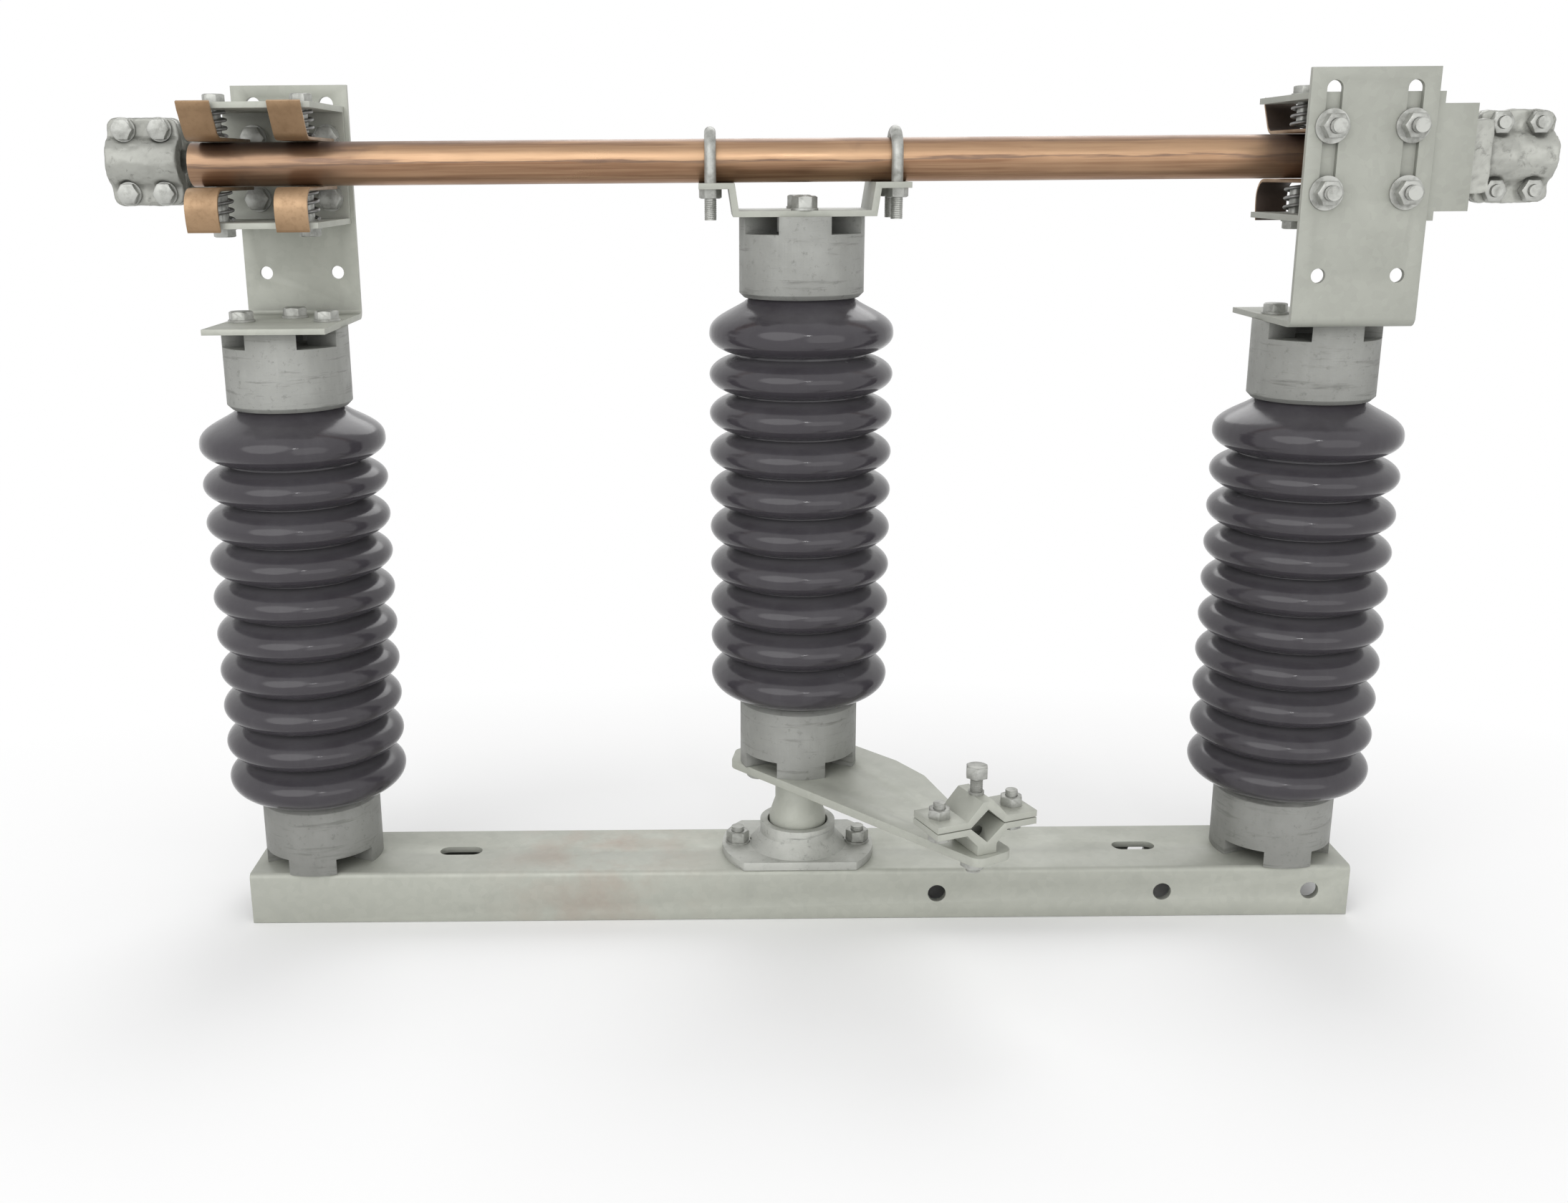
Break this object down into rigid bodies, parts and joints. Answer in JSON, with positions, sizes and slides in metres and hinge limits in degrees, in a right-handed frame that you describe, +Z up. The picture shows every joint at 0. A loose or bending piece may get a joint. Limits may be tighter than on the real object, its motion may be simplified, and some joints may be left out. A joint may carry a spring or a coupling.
{
  "type": "substation disconnect switch pole",
  "caption": "Single pole of a double-break disconnect switch: a centre insulator column turns a copper tube in and out of spring-loaded contacts on two fixed columns.",
  "frame": {"origin": "centre of the base channel, on the rotor axis, at the level of the surface that the channel stands on", "axes": "+X along the base channel towards the column at +X, +Y across it, +Z up along the rotor axis"},
  "size_m": [1.238, 0.3332, 0.767],
  "materials": {
    "porcelain": "dark brown-grey glaze",
    "cap_iron": "galvanised casting",
    "finger_copper": "dull copper strip",
    "tube_copper": "oxidised copper",
    "spring_steel": "dull",
    "cast_aluminium": "rough casting",
    "pedestal_iron": "galvanised casting",
    "galvanised_steel": "matt galvanised",
    "bolt_steel": "galvanised"
  },
  "bodies": {
    "base": {"base_channel": "galvanised_steel", "base_bolts": "bolt_steel", "bearing_pedestal": "pedestal_iron", "pedestal_bolts": "bolt_steel", "left_bottom_cap": "cap_iron", "left_porcelain": "porcelain", "left_top_cap": "cap_iron", "left_terminal_bracket": "galvanised_steel", "left_bracket_bolts": "bolt_steel", "left_contact_housing": "galvanised_steel", "left_housing_bolts": "bolt_steel", "left_contact_fingers": "finger_copper", "left_contact_springs": "spring_steel", "left_spring_bolts": "bolt_steel", "left_connector_body": "cast_aluminium", "left_connector_keeper": "cast_aluminium", "left_connector_bolts": "bolt_steel", "right_bottom_cap": "cap_iron", "right_porcelain": "porcelain", "right_top_cap": "cap_iron", "right_terminal_bracket": "galvanised_steel", "right_bracket_bolts": "bolt_steel", "right_contact_housing": "galvanised_steel", "right_housing_bolts": "bolt_steel", "right_contact_fingers": "finger_copper", "right_contact_springs": "spring_steel", "right_spring_bolts": "bolt_steel", "right_connector_body": "cast_aluminium", "right_connector_keeper": "cast_aluminium", "right_connector_bolts": "bolt_steel"},
    "rotor": {"bearing_post": "galvanised_steel", "lever_plate": "galvanised_steel", "lever_bolts": "bolt_steel", "rotor_bottom_cap": "cap_iron", "rotor_porcelain": "porcelain", "rotor_top_cap": "cap_iron", "tube_saddle": "galvanised_steel", "saddle_bolts": "bolt_steel", "contact_tube": "tube_copper", "u_bolts": "bolt_steel", "u_bolt_nuts": "bolt_steel"},
    "pipe_clamp": {"clamp_upper": "galvanised_steel", "clamp_lower": "galvanised_steel", "clamp_bolts": "bolt_steel", "clamp_stud": "bolt_steel"}
  },
  "joints": [
    {"name": "rotor_turn", "type": "hinge", "parent": "base", "child": "rotor", "pos_m": [0, 0, 0.07], "axis": [0, 0, 1], "range_deg": [0, 65]},
    {"name": "clamp_swivel", "type": "hinge", "parent": "rotor", "child": "pipe_clamp", "pos_m": [0.136, -0.2, 0.142], "axis": [0, 0, 1], "continuous": true}
  ]
}
